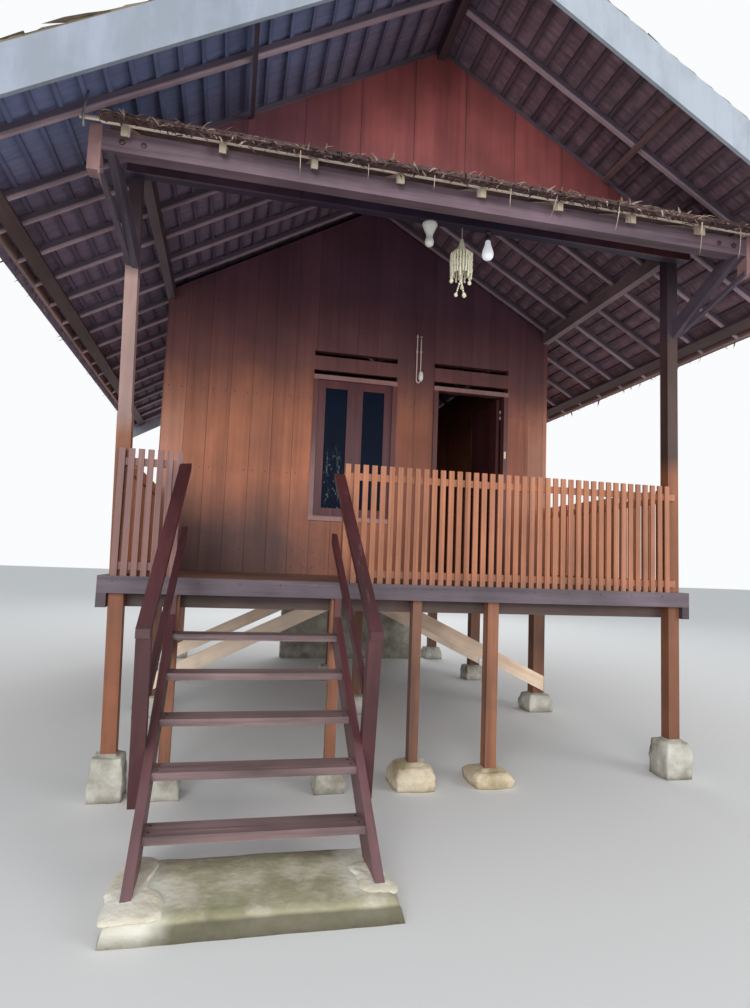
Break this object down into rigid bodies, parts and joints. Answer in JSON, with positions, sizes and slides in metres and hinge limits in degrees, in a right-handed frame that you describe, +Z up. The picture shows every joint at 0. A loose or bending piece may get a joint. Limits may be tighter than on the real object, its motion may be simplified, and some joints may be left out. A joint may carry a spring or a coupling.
{
  "type": "timber stilt house",
  "caption": "Timber house on stilts with a railed porch, an open stair, a red boarded gable, a thatched roof and a hinged door.",
  "frame": {"origin": "centre of the bounding box at ground level", "axes": "+Z up, +Y from the porch towards the back of the house, +X to the right seen from the porch"},
  "size_m": [6.28, 8.5583, 5.5746],
  "materials": {
    "concrete": "rough cast concrete",
    "mossy_concrete": "mossy concrete with pale mortar",
    "orange_timber": "varnished sawn timber",
    "brown_timber": "varnished sawn timber",
    "grey_timber": "weathered dark sawn timber",
    "dark_timber": "dark sawn timber",
    "floor_board": "worn boards",
    "wall_plank": "oiled planks",
    "gable_plank": "oiled red planks",
    "maroon_paint": "worn maroon varnish",
    "stair_paint": "worn dark maroon varnish",
    "railing_slat": "oiled slats",
    "pale_pole": "bare poles and laths",
    "barge_paint": "pale grey-blue paint",
    "thatch": "dry palm leaf thatch",
    "window_glass": "clear glass",
    "hinge_steel": "satin",
    "shell": "bleached shells on string",
    "lamp_white": "white plastic and glass"
  },
  "bodies": {
    "house": {"footing_blocks": "concrete", "porch_posts": "orange_timber", "rim_props": "orange_timber", "house_stilts": "brown_timber", "side_bearers": "grey_timber", "cross_bearers": "brown_timber", "rim_beam": "grey_timber", "floor_joists": "brown_timber", "porch_deck": "floor_board", "house_floor": "floor_board", "underfloor_braces": "orange_timber", "masonry_pier": "concrete", "front_wall_left": "wall_plank", "front_wall_right": "wall_plank", "front_wall_over": "wall_plank", "front_wall_gable": "wall_plank", "left_wall": "wall_plank", "right_wall": "wall_plank", "back_wall": "wall_plank", "vent_boards": "wall_plank", "window_frame": "maroon_paint", "window_sashes": "maroon_paint", "window_glass": "window_glass", "door_frame": "maroon_paint", "door_hinges": "hinge_steel", "wall_plates": "dark_timber", "tie_beams": "dark_timber", "gable_boarding": "gable_plank", "outer_beam": "grey_timber", "beam_struts": "dark_timber", "ridge_beam": "dark_timber", "rafters": "brown_timber", "eave_strips": "pale_pole", "eave_boards": "dark_timber", "roof_laths": "dark_timber", "bargeboards": "barge_paint", "gable_lookouts": "pale_pole", "skirt_rafters": "pale_pole", "skirt_thatch": "thatch", "thatch_left": "thatch", "thatch_right": "thatch", "ridge_cap": "thatch", "stair_slab": "mossy_concrete", "stair_stringers": "stair_paint", "stair_treads": "stair_paint", "stair_newels": "stair_paint", "stair_rails": "stair_paint", "front_railing": "railing_slat", "side_railings": "railing_slat", "light_fittings": "lamp_white", "shell_chime": "shell"},
    "door": {"door_leaf": "maroon_paint"}
  },
  "joints": [
    {"name": "door_hinge", "type": "hinge", "parent": "house", "child": "door", "pos_m": [1.5505, -0.39286, 2.411], "axis": [0, 0, 1], "range_deg": [-15, 90]}
  ]
}
